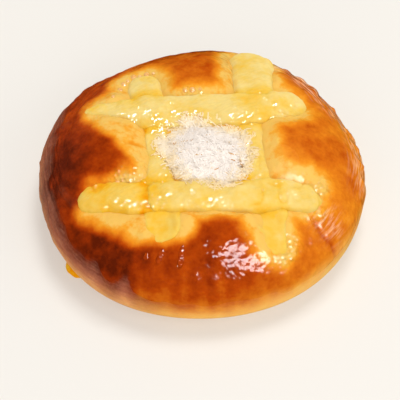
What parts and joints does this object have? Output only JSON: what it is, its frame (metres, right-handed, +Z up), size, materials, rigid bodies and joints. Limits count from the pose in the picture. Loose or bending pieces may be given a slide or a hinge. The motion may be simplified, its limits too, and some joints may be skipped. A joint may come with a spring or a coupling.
{
  "type": "custard brioche bun",
  "caption": "Round glazed brioche bun with piped custard ropes that cross on top and a heap of grated coconut in the middle square.",
  "frame": {"origin": "middle of the part's footprint, on the flat base", "axes": "+Z up through the crown, +X to the right and +Y to the back as seen by an eater who faces the front rope"},
  "size_m": [0.116, 0.1154, 0.0399],
  "materials": {
    "crust": "egg-washed and sugar-glazed crust, from orange-brown to mahogany, matte and paler at the foot",
    "custard": "baked custard cream with a thin wet glaze",
    "coconut": "dry fine-grated coconut"
  },
  "bodies": {
    "root": {"bun": "crust", "custard_rope_left": "custard", "custard_rope_right": "custard", "custard_rope_back": "custard", "custard_rope_front_left": "custard", "custard_rope_front": "custard", "coconut_heap": "coconut", "custard_drip": "custard"}
  },
  "joints": []
}
